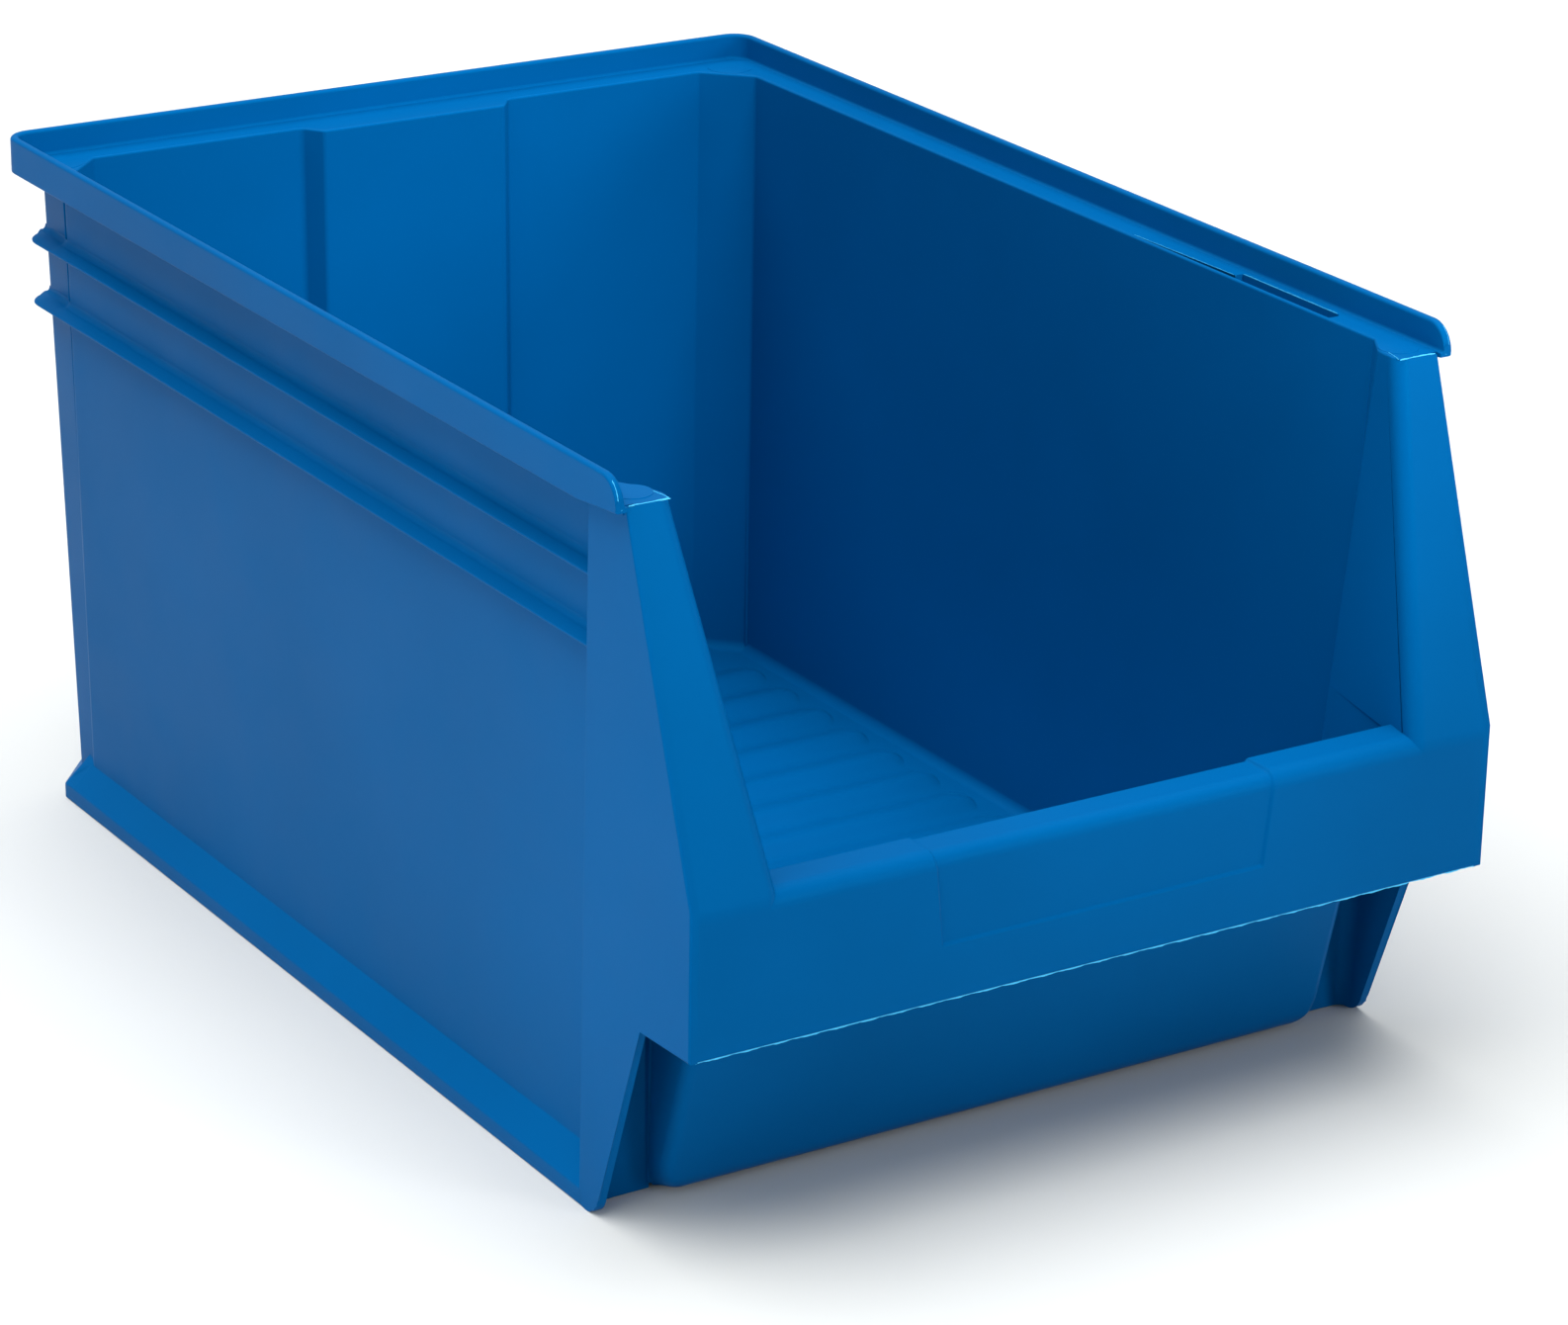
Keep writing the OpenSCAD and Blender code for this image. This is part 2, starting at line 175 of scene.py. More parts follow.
# ---- mesh helpers ----
def rounded(corners, radii, offset=0.0, steps=6):
    """A plan path moved to its right by offset, with arcs at its corners."""
    points = [Vector(c) for c in corners]
    ways = [(b - a).normalized() for a, b in zip(points, points[1:])]
    rights = [Vector((w.y, -w.x)) for w in ways]
    path = [points[0] + rights[0] * offset]
    for i in range(1, len(points) - 1):
        way_in, way_out = ways[i - 1], ways[i]
        left_turn = way_in.x * way_out.y - way_in.y * way_out.x > 0
        corner = points[i] + (rights[i - 1] + rights[i]) * (offset / (1 + rights[i - 1].dot(rights[i])))
        half = math.acos(max(-1, min(1, way_in.dot(way_out)))) / 2
        radius = max(radii[i] + (offset if left_turn else -offset), 0.15)
        start = corner - way_in * radius * math.tan(half)
        centre = corner + (way_out - way_in).normalized() * radius / math.cos(half)
        for k in range(steps + 1):
            turn = (1 if left_turn else -1) * 2 * half * k / steps
            arm = start - centre
            path.append(centre + Vector((arm.x * math.cos(turn) - arm.y * math.sin(turn),
                                         arm.x * math.sin(turn) + arm.y * math.cos(turn))))
    path.append(points[-1] + rights[-1] * offset)
    return path


def arc(centre, radius, start, end, steps=6):
    """Points (u, z) on an arc between two angles in degrees."""
    angles = [math.radians(start + (end - start) * k / steps) for k in range(steps + 1)]
    return [(centre[0] + radius * math.cos(a), centre[1] + radius * math.sin(a)) for a in angles]


def fillet(radius, angles):
    """Distances (u, v) from the two sides of a square corner along its fillet, at angles in degrees."""
    turns = [math.radians(a) for a in angles]
    return [(radius * (1 - math.sin(a)), radius * (1 - math.cos(a))) for a in turns]


def level(u, v, depth):
    """Places an outline flat, with its depth upwards."""
    return u, v, depth


def add_skin(bm, rows, mirrored=False):
    """A closed solid from a ring of equally long rows of points, with its two ends capped."""
    side = -1 if mirrored else 1
    grid = [[bm.verts.new((side * p[0] * MM, p[1] * MM, p[2] * MM)) for p in row] for row in rows]
    for row, following in zip(grid, grid[1:] + grid[:1]):
        for j in range(len(row) - 1):
            bm.faces.new((row[j], row[j + 1], following[j + 1], following[j]))
    bm.faces.new([row[0] for row in grid])
    bm.faces.new([row[-1] for row in reversed(grid)])


def join_rings(bm, rings):
    """Faces between closed rings of vertices, and across the first and the last."""
    for ring, following in zip(rings, rings[1:]):
        for j in range(len(ring)):
            k = (j + 1) % len(ring)
            bm.faces.new((ring[j], ring[k], following[k], following[j]))
    bm.faces.new(rings[0])
    bm.faces.new(rings[-1])


def add_prism(bm, outline, place, depths, mirrored=False):
    """An outline drawn through by place(u, v, depth)."""
    side = -1 if mirrored else 1
    rings = []
    for depth in depths:
        ring = [Vector(place(u, v, depth)) for u, v in outline]
        rings.append([bm.verts.new((side * p.x * MM, p.y * MM, p.z * MM)) for p in ring])
    join_rings(bm, rings)


def bevel(bm, wanted, radius, steps=4):
    """Rounds the edges for which wanted(middle, edge) holds."""
    edges = [e for e in bm.edges if wanted((e.verts[0].co + e.verts[1].co) / 2 / MM, e)]
    bmesh.ops.bevel(bm, geom=edges, offset=radius * MM, segments=steps, profile=0.5, affect="EDGES",
                    clamp_overlap=True)


def cut(bm, cutter):
    """Takes the cutter's space out of a solid."""
    objects = []
    for name, source in (("solid", bm), ("cutter", cutter)):
        bmesh.ops.recalc_face_normals(source, faces=source.faces)
        mesh = bpy.data.meshes.new(name)
        source.to_mesh(mesh)
        source.free()
        objects.append(bpy.data.objects.new(name, mesh))
        bpy.context.scene.collection.objects.link(objects[-1])
    solid, cutter = objects
    modifier = solid.modifiers.new("cut", "BOOLEAN")
    modifier.object, modifier.operation, modifier.solver = cutter, "DIFFERENCE", "EXACT"
    bpy.context.view_layer.update()
    left = bmesh.new()
    left.from_mesh(solid.evaluated_get(bpy.context.evaluated_depsgraph_get()).to_mesh())
    for obj in objects:
        mesh = obj.data
        bpy.data.objects.remove(obj)
        bpy.data.meshes.remove(mesh)
    return left


def piece(name, bm, nodes, look="plastic"):
    """Turns a bmesh into a piece that stands for the given CAD nodes."""
    bmesh.ops.remove_doubles(bm, verts=bm.verts, dist=1e-6)
    bmesh.ops.recalc_face_normals(bm, faces=bm.faces)
    for face in bm.faces:
        face.smooth = True
    for edge in bm.edges:
        if len(edge.link_faces) == 2 and edge.calc_face_angle(0) > math.radians(SHARP_ANGLE):
            edge.smooth = False
    mesh = bpy.data.meshes.new(name)
    bm.to_mesh(mesh)
    bm.free()
    obj = bpy.data.objects.new(name, mesh)
    bpy.context.scene.collection.objects.link(obj)
    mesh.materials.append(LOOKS[look])
    weighted = obj.modifiers.new("weighted_normals", "WEIGHTED_NORMAL")
    weighted.keep_sharp = True
    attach(obj, "root")
    if nodes:
        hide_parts(*nodes)


def both_sides(stem, build):
    """The same piece on the right and, mirrored, on the left."""
    for side, mirrored in (("right", False), ("left", True)):
        bm = bmesh.new()
        bm = build(bm, mirrored) or bm
        piece(f"{stem}_{side}_skin", bm, [f"{stem}_{side}"])


# ---- materials ----
def plastic(name, colour, roughness=0.36):
    """Moulded polypropylene: slightly mottled colour, a fine matt grain and faint flow unevenness."""
    material = bpy.data.materials.new(name)
    material.use_nodes = True
    tree = material.node_tree
    shader = tree.nodes["Principled BSDF"]
    shader.inputs["IOR"].default_value = 1.45
    shader.inputs["Specular IOR Level"].default_value = 0.035
    shader.inputs["Specular Tint"].default_value = (0.0, 0.75, 1.0, 1)
    place = tree.nodes.new("ShaderNodeTexCoord")

    def noise(scale, detail):
        node = tree.nodes.new("ShaderNodeTexNoise")
        node.inputs["Scale"].default_value = scale
        node.inputs["Detail"].default_value = detail
        tree.links.new(place.outputs["Object"], node.inputs["Vector"])
        return node

    def ramp(source, stops):
        node = tree.nodes.new("ShaderNodeValToRGB")
        for element, (position, value) in zip(node.color_ramp.elements, stops):
            element.position, element.color = position, value
        tree.links.new(source.outputs["Fac"], node.inputs["Fac"])
        return node

    darker, lighter = ((*[c * share for c in colour], 1) for share in (0.94, 1.05))
    tint = ramp(noise(9, 3), [(0.3, darker), (0.7, lighter)])
    tree.links.new(tint.outputs["Color"], shader.inputs["Base Color"])
    smoother, rougher = ((roughness + change,) * 3 + (1,) for change in (-0.04, 0.05))
    polish = ramp(noise(35, 4), [(0.3, smoother), (0.7, rougher)])
    tree.links.new(polish.outputs["Color"], shader.inputs["Roughness"])
    fine, broad = noise(1400, 2), noise(22, 2)
    bumps = []
    for source, strength, distance in ((fine, 0.105, 0.00006), (broad, 0.25, 0.0006)):
        node = tree.nodes.new("ShaderNodeBump")
        node.inputs["Strength"].default_value = strength
        node.inputs["Distance"].default_value = distance
        tree.links.new(source.outputs["Fac"], node.inputs["Height"])
        bumps.append(node)
    tree.links.new(bumps[0].outputs["Normal"], bumps[1].inputs["Normal"])
    tree.links.new(bumps[1].outputs["Normal"], shader.inputs["Normal"])
    return material


LOOKS = {
    "plastic": plastic("blue_polypropylene", (0.0, 0.084, 0.262)),
    # The flash lines get a far lighter cyan than the body; this colour is a painted highlight along their
    # edges.
    "flash": plastic("flash_painted_highlight", (0.08, 0.52, 0.85), roughness=0.25),
}


# ---- cavity walls: a plan path with the cavity on its right ----
def wall_section():
    """(offset towards the cavity, height) round a wall: foot fillet, mouth edge, outside."""
    foot = [(u, FLOOR + v) for u, v in fillet(FLOOR_R, range(0, 91, 15))]
    mouth = [(-v, LEDGE - u) for u, v in fillet(MOUTH_R, range(0, 91, 15))]
    return ([(0, FLOOR_UNDER), (0, FLOOR - 0.6), (FLOOR_R, FLOOR - 0.6)] + foot + mouth
            + [(-WALL, LEDGE), (-WALL, FLOOR_UNDER)])


def wall_rows(corners_at, radii, section=None):
    """One row of points for each height of a wall's section, along its plan path."""
    rows = []
    for offset, z in section or wall_section():
        rows.append([(p.x, p.y, z) for p in rounded(corners_at(z), radii, offset)])
    return rows


def make_walls():
    def field(z):
        return [(-FIELD_FACE + 6, back_y(z) - FIELD_DEPTH), (FIELD_FACE - 6, back_y(z) - FIELD_DEPTH)]

    def step(z):
        y, face_y = back_y(z), back_y(z) - FIELD_DEPTH
        return [(FIELD_FACE - 6, face_y), (FIELD_FACE, face_y), (FIELD_EDGE, y), (FIELD_EDGE + 7, y)]

    def back(z):
        return [(FIELD_EDGE + 7, back_y(z)), (side_x(z) - CORNER - 9, back_y(z))]

    def web(z):
        x, y = side_x(z), back_y(z)
        return [(x - CORNER - 9, y), (x - CORNER, y), (x, y - CORNER), (x, y - CORNER - 9)]

    def side(z):
        return [(side_x(z), back_y(z) - CORNER - 9), (side_x(z), corner_d(z)[1] + 5)]

    bm = bmesh.new()
    add_skin(bm, wall_rows(field, [0, 0]))
    piece("back_field_skin", bm, ["back_field"])
    both_sides("back_step", lambda bm, m: add_skin(bm, wall_rows(step, [0, 2.5, 3.5, 0]), m))
    both_sides("back_wall", lambda bm, m: add_skin(bm, wall_rows(back, [0, 0]), m))
    both_sides("back_corner_web", lambda bm, m: add_skin(bm, wall_rows(web, [0, WEB_R, WEB_R, 0]), m))

    def build_side(bm, mirrored):
        add_skin(bm, wall_rows(side, [0, 0]), mirrored)
        return cut_slot(bm, mirrored)

    both_sides("side_wall", build_side)


SLOT_LOW, SLOT_HIGH = FRONT + 91, FRONT + 148      # front and back end of the slot along each ledge
SLOT_OUT = 6.4                                     # far side of the slot from the inside of the wall
SLOT_DEPTH = 2.9
GROOVE_LENGTH, GROOVE_DEPTH = 60, 0.7              # the shallow groove that runs back from the slot
LIP_LEFT = 1.1                                     # thin edge left between slot and cavity


def cut_slot(bm, mirrored):
    """The detent slot in a side wall's top and its ledge, and the groove that tapers away behind it."""
    x = side_x(LEDGE - WALL) + LIP_LEFT
    out = x + SLOT_OUT - LIP_LEFT
    slot = [(x, SLOT_LOW), (out - 1.5, SLOT_LOW), (out - 0.4, SLOT_LOW + 0.5), (out, SLOT_LOW + 1.6),
            (out, SLOT_HIGH), (x, SLOT_HIGH)]
    groove = [(x, SLOT_HIGH - 1), (x + 1.9, SLOT_HIGH - 1), (x + 0.1, SLOT_HIGH + GROOVE_LENGTH),
              (x, SLOT_HIGH + GROOVE_LENGTH)]
    for outline, depth in ((slot, SLOT_DEPTH), (groove, GROOVE_DEPTH)):
        cutter = bmesh.new()
        add_prism(cutter, outline, level, (LEDGE - depth, LEDGE + 2), mirrored)
        bm = cut(bm, cutter)
    return bm


# ---- the hollow column outside each back corner ----
def make_columns():
    def outline(z):
        """The column's plan path, with its ends sunk into the two walls."""
        points = column_outline(z)
        x_out, edge_y = points[0]
        ends = (x_out - 1, edge_y - 0.5), (points[-1][0], back_y(z) + WALL - 1)
        return [ends[0], *points, ends[1]][::-1]

    def build(bm, mirrored):
        thickness = 2.6
        section = [(0, FLOOR_UNDER), (0, LEDGE - WALL), (thickness, LEDGE - WALL), (thickness, FLOOR_UNDER)]
        rows = []
        for offset, z in section:
            rows.append([(p.x, p.y, z) for p in rounded(outline(z), [0, 1.5, 2, 0.6, 0.4, 0], offset, 4)])
        add_skin(bm, rows, mirrored)

    both_sides("back_corner_column", build)


# ---- floor ----
def cavity_back(z):
    """Plan points of the right half of the cavity's back, from the raised field to the side wall."""
    return [(FIELD_FACE, back_y(z) - FIELD_DEPTH), (FIELD_EDGE, back_y(z)), (side_x(z) - CORNER, back_y(z)),
            (side_x(z), back_y(z) - CORNER)]


def make_floor():
    bm = bmesh.new()
    c = corner_c(FLOOR)
    front = [corner_d(FLOOR), c, (c[0] - 1, c[1] - 2), (trough_x(FLOOR) - 10, trough_y(FLOOR) + 3.5)]
    half = cavity_back(FLOOR) + front
    outline = half + [(-x, y) for x, y in reversed(half)]
    add_prism(bm, outline, level, (FLOOR_UNDER, FLOOR))
    piece("floor_panel_skin", bm, ["floor_panel"])
    make_waves()


WAVE_PITCH = 26
WAVE_HEIGHT = 2.4
WAVE_END = 133      # half length of the waves' crests
SCALLOP = 7         # how far a crest runs out past a valley's end


def wave_height(x, y, y_start):
    """Height of the cross waves above the floor; each crest ends in a scallop."""
    crest = 0.5 - 0.5 * math.cos(2 * math.pi * (y - y_start) / WAVE_PITCH)
    beyond = max(abs(x) - WAVE_END, 0) / SCALLOP
    room = math.sqrt(crest)
    if room <= beyond:
        return 0
    return WAVE_HEIGHT * crest * math.sqrt(1 - (beyond / room) ** 2) if beyond else WAVE_HEIGHT * crest


def make_waves():
    low, high = node_box("floor_waves")
    count = round((high.y - low.y) / WAVE_PITCH)
    rows_per_wave, end_steps = 16, 9
    reach = WAVE_END + SCALLOP
    ends = [WAVE_END + SCALLOP * math.sin(math.pi / 2 * k / end_steps) for k in range(end_steps + 1)]
    xs = [-x for x in reversed(ends)] + [WAVE_END * k / 6 for k in range(-5, 6)] + ends
    bm = bmesh.new()
    rows = []
    for i in range(count * rows_per_wave + 1):
        y = low.y + i * WAVE_PITCH / rows_per_wave
        top = [(x, y, FLOOR - 0.02 + wave_height(x, y, low.y)) for x in xs]
        rows.append(top + [(reach, y, FLOOR - 1), (-reach, y, FLOOR - 1)])
    add_skin(bm, [list(column) for column in zip(*rows)])
    piece("floor_waves_skin", bm, ["floor_waves"])


# ---- ledge and rim ----
RIM_IN = HALF - WALL          # the rim's inner face
RIM_CUT = BACK - 14
LEDGE_CUT = BACK - 40
PLATE_TOP = LEDGE - 0.02      # a hair under the wall tops, so that no faces coincide


def add_mark(bm, x, y, radius, mirrored):
    """A shallow round mark left by an ejector pin."""
    outline = arc((x, y), radius, 0, 351, 39)

    def place(u, v, depth):
        inward = max(depth - 0.12, 0) / radius
        return u + (x - u) * inward, v + (y - v) * inward, PLATE_TOP + min(depth, 0.2)

    add_prism(bm, outline, place, (0.0, 0.1, 0.24, 0.4), mirrored)


def make_ledge():
    """The flat ledge inside the rim; its edge lies inside the walls' tops, so the mouth stays round."""
    inset, under_rim = 1.1, 1.0
    half = cavity_back(LEDGE)
    inner = rounded([(0, half[0][1]), *half, (half[-1][0], LEDGE_CUT)], [0, 2.5, 3.5, 7, 7, 0], -inset)
    outer = rounded([(0, BACK - WALL), (RIM_IN, BACK - WALL), (RIM_IN, LEDGE_CUT)],
                    [0, RIM_CORNER_R - WALL, 0], under_rim)
    bm = bmesh.new()
    for mirrored in (False, True):
        outline = [tuple(p) for p in inner] + [tuple(p) for p in reversed(outer)]
        add_prism(bm, outline, level, (LEDGE - WALL, PLATE_TOP), mirrored)
        add_mark(bm, RIM_IN - 13, BACK - WALL - 13, 9, mirrored)
    piece("ledge_back_skin", bm, ["ledge_back"])

    def side(bm, mirrored):
        c, d = corner_c(LEDGE), corner_d(LEDGE)
        x_in, y_front = slope_x(LEDGE), slope_y(LEDGE)
        inner = rounded([(d[0], LEDGE_CUT), d, c, (x_in, y_front + 6)], [0, 2, 3, 0], -inset)
        outline = [tuple(p) for p in inner]
        outline += [(x_in + 4, y_front + 1.2), (RIM_IN - 1, y_front + 1.2), (RIM_IN - 1, LEDGE_CUT)]
        add_prism(bm, outline, level, (LEDGE - WALL, PLATE_TOP), mirrored)
        bm = cut_slot(bm, mirrored)
        add_mark(bm, 152, y_front + 11, 7, mirrored)
        return bm

    both_sides("ledge", side)


def rim_section(top, low=RIM_LOW):
    """(outwards from the inner face, height) round the rim."""
    foot_r, crown_r = 1.2, 1.3
    foot = [(u - foot_r, z) for u, z in arc((0, LEDGE + foot_r), foot_r, -90, 0, 5)]
    crown = arc((crown_r, top - crown_r), crown_r, 180, 90, 5)
    crown += arc((WALL - crown_r, top - crown_r), crown_r, 90, 0, 5)
    skirt = arc((WALL - EDGE_R, low + EDGE_R), EDGE_R, 0, -90, 3)
    return foot + crown + skirt + [(-foot_r, low)]


def make_rim():
    bm = bmesh.new()
    corners = [(-RIM_IN, RIM_CUT), (-RIM_IN, BACK - WALL), (RIM_IN, BACK - WALL), (RIM_IN, RIM_CUT)]
    radii = [0, RIM_CORNER_R - WALL, RIM_CORNER_R - WALL, 0]
    rows = [[(p.x, p.y, z) for p in rounded(corners, radii, -u, 10)] for u, z in rim_section(TOP)]
    add_skin(bm, rows)
    piece("rim_back_skin", bm, ["rim_back"])

    def side(bm, mirrored):
        rise_start = post_back(LEDGE)
        stations = [(RIM_CUT, TOP, 0), (rise_start, TOP, 0)]
        stations += [(RIM_END + u, TOP - v, 0) for u, v in fillet(RIM_END_R, [8.6 * k for k in range(11)])]
        stations.append((RIM_END, LEDGE + 2.8, 1 / 12))
        columns = []
        for y, top, thinner in stations:
            low = RIM_LOW + 2.4 * min(max((rise_start - y) / (rise_start - RIM_END), 0), 1)
            section = rim_section(top, low)
            columns.append([(RIM_IN + u + (WALL / 2 - u) * thinner, y, z) for u, z in section])
        add_skin(bm, [list(row) for row in zip(*columns)], mirrored)

    both_sides("rim", side)


# ---- ribs and skirt ----
RIB_CUT = BACK - 34
DEEPEST = 22.6               # no band reaches further in than this


def wall_outside(z):
    """Plan outline of the outside of the right wall and the back, from the front to the middle."""
    column, y_out = column_outline(z), back_y(z) + WALL
    back = [(column[-1][0], y_out), (FIELD_EDGE, y_out), (FIELD_FACE, y_out - FIELD_DEPTH),
            (0, y_out - FIELD_DEPTH)]
    return [(column[0][0], FRONT), *column, *back]


def distance_to(outline, point, way):
    """How far a ray runs from a point to an outline."""
    best = DEEPEST
    for a, b in zip(outline, outline[1:]):
        a, edge = Vector(a), Vector(b) - Vector(a)
        across = way.x * edge.y - way.y * edge.x
        if abs(across) < 1e-9:
            continue
        gap = a - point
        along = (gap.x * edge.y - gap.y * edge.x) / across
        share = (gap.x * way.y - gap.y * way.x) / across
        if along > 0 and -1e-6 <= share <= 1 + 1e-6:
            best = min(best, along)
    return best


def sweep_band(bm, path, inward, section, z_wall, mirrored=False):
    """A band along a path; section is (share of the way to the wall, millimetres further, height)."""
    outline = wall_outside(z_wall)
    columns = []
    for point, way in zip(path, inward):
        right_point = Vector((abs(point.x), point.y))
        right_way = Vector((way.x if point.x > 0 else -way.x, way.y))
        depth = distance_to(outline, right_point, right_way)
        columns.append([(*(point + way * (share * depth + more)), z) for share, more, z in section])
    add_skin(bm, [list(row) for row in zip(*columns)], mirrored)


def ring_path(corners, radii, z):
    """The back part of a band, and the way inwards at each point, with more points where the wall steps."""
    column = column_outline(z)
    edge_y, return_x = column[0][1], column[-1][0]
    path = rounded(corners, radii, 0, 10)
    right = [p for p in path if p.x > 0]
    beside = [Vector((right[-1].x, y)) for y in (edge_y + 1.9, edge_y) if right[-1].y < y < right[-2].y]
    right = right[:-1] + beside + right[-1:]
    extra = [Vector((x, right[0].y)) for x in (FIELD_FACE, FIELD_EDGE, return_x - 0.1, return_x + 0.1)]
    left = [Vector((-p.x, p.y)) for p in reversed(right)]
    path = left + [Vector((-p.x, p.y)) for p in reversed(extra)] + extra + right
    inward = []
    for i, p in enumerate(path):
        way = path[min(i + 1, len(path) - 1)] - path[max(i - 1, 0)]
        inward.append(Vector((way.y, -way.x)).normalized())
    return path, inward


def make_band(stem, corners, radii, section, z_wall, front_y):
    """The back, left and right parts of a rib or the skirt."""
    path, inward = ring_path(corners, radii, z_wall)
    bm = bmesh.new()
    sweep_band(bm, path, inward, section, z_wall)
    piece(f"{stem}_back_skin", bm, [f"{stem}_back"])
    x = corners[-1][0]

    def side(bm, mirrored):
        ends = [Vector((x, RIB_CUT)), Vector((x, front_y))]
        sweep_band(bm, ends, [Vector((-1, 0))] * 2, section, z_wall, mirrored)

    both_sides(stem, side)


def make_ribs():
    """Two thin-edged ribs whose tops curve up into the wall."""
    edge, rise, cove_r = 1.1, 1.4, 2.6
    for name, low in RIB_LOWS.items():
        z = low + 3.6
        nose = [(0, edge / 2 - u, z + v) for u, v in arc((0, -edge / 2), edge / 2, -90, 90)]
        fin = [(1, -cove_r, z + rise)]
        cove = [(1, -u, z + rise + v) for u, v in fillet(cove_r, range(15, 91, 15))]
        section = nose + fin + cove + [(1, 1.6, z + rise + cove_r), (1, 1.6, low - 0.4)]
        corners = [(-POST_X, RIB_CUT), (-POST_X, RING_BACK), (POST_X, RING_BACK), (POST_X, RIB_CUT)]
        radii = [0, RIB_CORNER_R, RIB_CORNER_R, 0]
        make_band(f"{name}_rib", corners, radii, section, z, post_back(low) - 1)


def make_skirt():
    """The base skirt: a low upright, then a slope back to the wall."""
    upright = 6.4
    nose = [(0, u, v) for u, v in fillet(EDGE_R, range(0, 91, 30))]
    crest = [(0, 0, upright - 0.7), (0, 0.15, upright - 0.2), (0.03, 0.3, upright + 0.3)]
    top = [(1, -0.8, SKIRT_TOP - 1.1), (1, -0.2, SKIRT_TOP - 0.6), (1, 0, SKIRT_TOP)]
    inside = [(1, 1.6, SKIRT_TOP), (1, 1.6, SKIRT_TOP - 4), (0, WALL, upright - 1.5), (0, WALL, 0)]
    section = nose + crest + top + inside
    bevel_x, bevel_y = HALF - 22, BACK - 26.2
    corners = [(-POST_X, RIB_CUT), (-POST_X, bevel_y), (-bevel_x, SKIRT_BACK),
               (bevel_x, SKIRT_BACK), (POST_X, bevel_y), (POST_X, RIB_CUT)]
    make_band("base_skirt", corners, [0, 1.5, 4, 4, 1.5, 0], section, SKIRT_TOP, post_back(0) - 1)


# ---- front posts ----
SEAM = 7             # the inner wall hands over to the sloping face this far behind the face's edge


def make_posts():
    def inner(z):
        c = Vector(corner_c(z))
        if z > TROUGH_TOP - 0.5:
            edge = Vector((slope_x(z), slope_y(z)))
            end = edge - (edge - c).normalized() * SEAM
        else:
            edge = Vector((trough_x(z) - WALL, trough_y(z) + WALL))
            end = c + (edge - c).normalized() * TROUGH_JOIN
        return [(side_x(z), corner_d(z)[1] + 5), corner_d(z), tuple(c), tuple(end)]

    def build_inner(bm, mirrored):
        section = wall_section()
        k = next(i for i, (_, z) in enumerate(section) if z > FLOOR + FLOOR_R - 0.1) + 1
        low, high = TROUGH_TOP - 0.51, TROUGH_TOP - 0.49
        inside, outside = [(0, low), (0, high)], [(-WALL, high), (-WALL, low)]
        section = section[:k] + inside + section[k:-1] + outside + section[-1:]
        add_skin(bm, wall_rows(inner, [0, 2, 3, 0], section), mirrored)

    both_sides("post_inner_wall", build_inner)

    def face(z):
        c, s = Vector(corner_c(z)), Vector((slope_x(z), slope_y(z)))
        way = (s - c).normalized()
        return [tuple(s - way * SEAM), tuple(s), (POST_X - WALL, s.y)]

    def build_face(bm, mirrored):
        edge = 0.5
        section = [(-v, LEDGE - u) for u, v in fillet(edge, range(0, 91, 15))]
        section = [(0, JOIN), (0, SLOPE_LOW)] + section + [(-WALL, LEDGE), (-WALL, JOIN)]
        add_skin(bm, wall_rows(face, [0, POST_EDGE_R, 0], section), mirrored)

    both_sides("post_face", build_face)
    make_plates()


def plate_outline():
    """Side view (y, z) of a post's outer plate with its foot."""
    foot_y, foot_top, toe_r = FRONT + 57, FRONT + 31, 8.5
    turns = [math.radians(a) for a in range(270, 189, -10)]
    toe = [(foot_y + toe_r + toe_r * math.cos(a) - 0.6, toe_r + toe_r * math.sin(a)) for a in turns]
    slope_top = LEDGE - 0.4
    return ([(post_back(0), 0)] + toe + [(foot_top, APRON_LOW), (FRONT, APRON_LOW), (FRONT, SLOPE_LOW),
            (slope_y(slope_top), slope_top), (post_back(slope_top), slope_top)])


def make_plates():
    def build(bm, mirrored):
        outline = plate_outline()
        add_prism(bm, outline, lambda u, v, depth: (depth, u, v), (POST_X - WALL, POST_X), mirrored)
        bevel(bm, lambda middle, e: abs(abs(middle.x) - POST_X) < 0.01, EDGE_R)
        side = -1 if mirrored else 1
        rings = []
        for z in (0.6, LEDGE - WALL):
            rings.append([bm.verts.new((side * x * MM, y * MM, z * MM)) for x, y in return_wall(z)])
        join_rings(bm, rings)

    both_sides("post_plate", build)


def return_wall(z):
    """Plan outline of the wall that closes a post behind its foot, with a fillet against the plate."""
    thickness, corner_r = 2.5, 4.5
    c, plate_x, y = corner_c(z), POST_X - WALL, post_back(z)
    front_y = y - thickness
    start = (c[0] + WALL - 0.5, c[1] - WALL - 0.15)
    curve = [(plate_x - u, front_y - v) for u, v in fillet(corner_r, range(0, 91, 18))]
    plate = [(plate_x + 0.5, front_y - corner_r), (plate_x + 0.5, y)]
    return [start, *curve, *plate, (start[0], start[1] + thickness)]


# ---- thin raised lines: mould flash and burrs, coloured with a painted highlight ----
def unevenness(t, seed):
    """A value between 0 and 1 that wanders along a line."""
    waves = (0.55, 0.13), (1.7, 0.31), (4.1, 0.7), (9.3, 1.9)
    total = sum(math.sin(t * rate + seed * (k + 1.3)) / (k + 1) for k, (rate, _) in enumerate(waves))
    return min(max(0.5 + 0.35 * total, 0), 1)


def add_flash(bm, start, end, up, out, height, seed=0.0, step=1.5, thin=0.25, least=0.3):
    """A thin irregular fin along an edge; up is the way it grows, out the way it is thick."""
    start, end, up, out = Vector(start), Vector(end), Vector(up), Vector(out)
    count = max(int((end - start).length / step), 2)
    rings = []
    for k in range(count + 1):
        foot = start + (end - start) * k / count
        tall = height * (least + (1 - least) * unevenness(k * step, seed))
        if k in (0, count):
            tall *= 0.2
        root, tip = foot - up * 0.2, foot + up * tall
        ring = [root, root + out * thin, tip + out * thin * 0.3, tip]
        rings.append([bm.verts.new(p * MM) for p in ring])
    join_rings(bm, rings)


